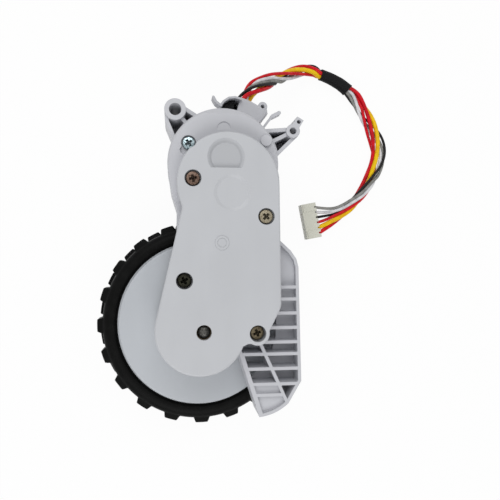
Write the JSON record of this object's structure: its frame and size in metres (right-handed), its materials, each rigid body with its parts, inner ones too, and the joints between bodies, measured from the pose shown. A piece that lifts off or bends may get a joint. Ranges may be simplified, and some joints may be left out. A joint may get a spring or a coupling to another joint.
{
  "type": "robot vacuum wheel module",
  "caption": "Robot vacuum wheel module: lugged rubber drive wheel, moulded gearbox with motor drum, pivot ears, ribbed guard and a short coloured lead with sleeve and plug.",
  "frame": {"origin": "centre of the outer face of the wheel, on the wheel axis and on the floor that the module lies on", "axes": "+Z along the wheel axis from the outer face of the wheel to the gearbox cover; +Y towards the motor drum; +X towards the ribbed guard and the lead"},
  "size_m": [0.1071, 0.1317, 0.0467],
  "materials": {
    "housing_plastic": "fine matt texture",
    "cover_plastic": "satin",
    "hub_plastic": "satin",
    "gear_plastic": "satin",
    "black_plastic": "satin",
    "tyre_rubber": "matt",
    "foam": "matt",
    "bronze_screw": "dark bronze plating",
    "zinc_screw": "bright zinc",
    "steel": "turned",
    "brass": "turned",
    "copper_winding": "enamelled wire",
    "ferrite": "sintered",
    "circuit_board": "solder mask",
    "tin": "plated",
    "wire_jacket": "smooth jacket",
    "shrink_sleeve": "matt",
    "plug_nylon": "satin"
  },
  "bodies": {
    "gearbox": {"gearbox_housing": "housing_plastic", "gearbox_cover": "cover_plastic", "motor_end_cap": "housing_plastic", "cover_screws": "bronze_screw", "shoulder_screw": "zinc_screw", "motor_can": "steel", "motor_screws": "zinc_screw", "motor_magnets": "ferrite", "motor_end_bell": "black_plastic", "motor_terminals": "tin", "encoder_board": "circuit_board", "hall_sensors": "black_plastic", "floor_bush": "brass", "cover_bush": "brass", "wire_seal": "foam", "wire_harness": "wire_jacket", "heat_shrink": "shrink_sleeve", "plug_housing": "plug_nylon", "plug_contacts": "tin", "gear_pin_third": "steel", "gear_pin_second": "steel", "gear_pin_first": "steel"},
    "drive_wheel": {"wheel_hub": "hub_plastic", "hub_screw": "zinc_screw", "hub_cap": "hub_plastic", "tyre": "tyre_rubber", "wheel_axle": "steel", "output_gear": "gear_plastic"},
    "third_gear_body": {"third_gear": "gear_plastic"},
    "second_gear_body": {"second_gear": "gear_plastic"},
    "first_gear_body": {"first_gear": "gear_plastic"},
    "rotor": {"rotor_shaft": "steel", "rotor_core": "copper_winding", "commutator": "brass", "motor_pinion": "brass", "encoder_magnet": "ferrite"}
  },
  "joints": [
    {"name": "wheel_spin", "type": "hinge", "parent": "gearbox", "child": "drive_wheel", "pos_m": [0, 0, 0], "axis": [0, 0, 1], "continuous": true},
    {"name": "third_gear_spin", "type": "hinge", "parent": "gearbox", "child": "third_gear_body", "pos_m": [0.00633, 0.01382, 0], "axis": [0, 0, 1], "continuous": true},
    {"name": "second_gear_spin", "type": "hinge", "parent": "gearbox", "child": "second_gear_body", "pos_m": [0.0054, 0.02709, 0], "axis": [0, 0, 1], "continuous": true},
    {"name": "first_gear_spin", "type": "hinge", "parent": "gearbox", "child": "first_gear_body", "pos_m": [0.00856, 0.04236, 0], "axis": [0, 0, 1], "continuous": true},
    {"name": "rotor_spin", "type": "hinge", "parent": "gearbox", "child": "rotor", "pos_m": [0.00663, 0.05319, 0], "axis": [0, 0, 1], "continuous": true}
  ],
  "couplings": [
    {"joint": "third_gear_spin", "follows": "wheel_spin", "ratio": -1.7143},
    {"joint": "second_gear_spin", "follows": "wheel_spin", "ratio": 2.9388},
    {"joint": "first_gear_spin", "follows": "wheel_spin", "ratio": -5.551},
    {"joint": "rotor_spin", "follows": "wheel_spin", "ratio": 11.895}
  ]
}
